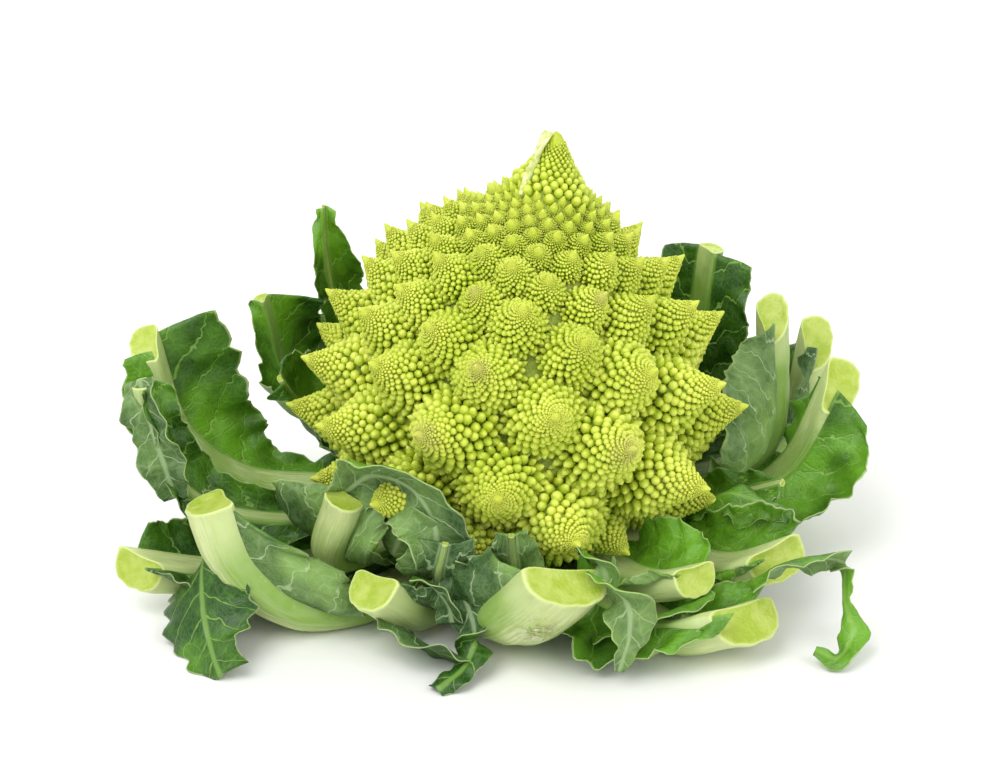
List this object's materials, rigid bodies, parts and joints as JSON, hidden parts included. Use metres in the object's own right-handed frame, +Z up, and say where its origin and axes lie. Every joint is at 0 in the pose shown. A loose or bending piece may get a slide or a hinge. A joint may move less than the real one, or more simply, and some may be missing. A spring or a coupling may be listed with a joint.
{
  "type": "romanesco head",
  "caption": "Trimmed romanesco head standing on its cut stalk: a pointed curd of spiralling florets inside a ring of cut leaves with thick pale ribs.",
  "frame": {"origin": "centre of the stalk's flat cut face, on which the head stands", "axes": "+Z up through the curd, +X along the widest spread of the leaves, -Y towards the side with the thickest cut leaf"},
  "size_m": [0.2442, 0.1909, 0.148],
  "materials": {
    "curd": "lime green plant tissue, waxy and slightly rough, darker between the buds",
    "stalk": "pale green skin, moist lime cut faces",
    "leaf": "green blades, grey and waxy outside, with pale veins, ribs and cut faces"
  },
  "bodies": {
    "root": {"curd": "curd", "stalk": "stalk", "leaf_front": "leaf", "leaf_front_left": "leaf", "leaf_low_left": "leaf", "leaf_low_right": "leaf", "leaf_low_far_left": "leaf", "leaf_left_tall": "leaf", "leaf_back_left": "leaf", "leaf_right_wide": "leaf", "leaf_right": "leaf", "leaf_inner_right": "leaf", "leaf_inner_left": "leaf", "leaf_left_folded": "leaf", "leaf_right_tall": "leaf", "leaf_right_mid": "leaf", "leaf_back_right": "leaf", "leaf_pointed": "leaf", "leaf_curled": "leaf", "leaf_right_folded": "leaf", "leaf_back": "leaf", "leaf_back_far_left": "leaf", "leaf_back_far_right": "leaf", "leaf_inner_back": "leaf", "leaf_inner_front": "leaf", "leaf_twisted": "leaf"}
  },
  "joints": []
}
